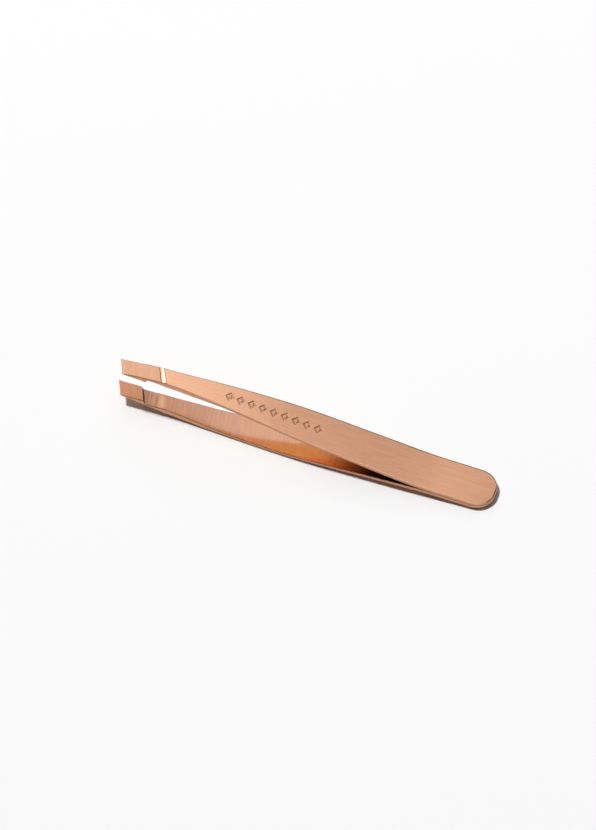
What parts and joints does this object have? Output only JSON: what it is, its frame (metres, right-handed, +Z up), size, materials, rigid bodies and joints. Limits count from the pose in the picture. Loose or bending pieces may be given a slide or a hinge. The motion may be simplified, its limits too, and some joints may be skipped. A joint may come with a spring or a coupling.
{
  "type": "slant tweezers",
  "caption": "Slant-tip tweezers: bowed sprung arms, welded face to face at a rounded heel, close slanted gripping pads that pluck hair.",
  "frame": {"origin": "middle of the footprint of the tweezers as they lie on a table, at the table's surface", "axes": "+X from the tips to the heel, +Y across the arms towards the long corner of the slanted tips, +Z up; the plane that the arms mirror in slopes down 4.04 degrees towards the heel, because the tool rests on the lower arm's belly and on the end of its heel"},
  "size_m": [0.0954, 0.0106, 0.0128],
  "materials": {
    "rose_gold_satin": "satin rose-gold coating over brushed spring steel",
    "weld_metal": "bare fused steel, sealed between the arms"
  },
  "bodies": {
    "heel": {"upper_arm_heel": "rose_gold_satin", "lower_arm_heel": "rose_gold_satin", "weld_nuggets": "weld_metal"},
    "upper_arm": {"upper_arm_blade": "rose_gold_satin"},
    "lower_arm": {"lower_arm_blade": "rose_gold_satin"}
  },
  "joints": [
    {"name": "upper_arm_flex", "type": "hinge", "parent": "heel", "child": "upper_arm", "pos_m": [0.01757, 0, 0.0049], "axis": [0, -1, 0], "range_deg": [0, 3.64], "stiffness_Nm_per_rad": 1.5},
    {"name": "lower_arm_flex", "type": "hinge", "parent": "heel", "child": "lower_arm", "pos_m": [0.01732, 0, 0.00136], "axis": [0, 1, 0], "range_deg": [0, 3.64], "stiffness_Nm_per_rad": 1.5}
  ],
  "couplings": [
    {"joint": "lower_arm_flex", "follows": "upper_arm_flex", "ratio": 1}
  ]
}
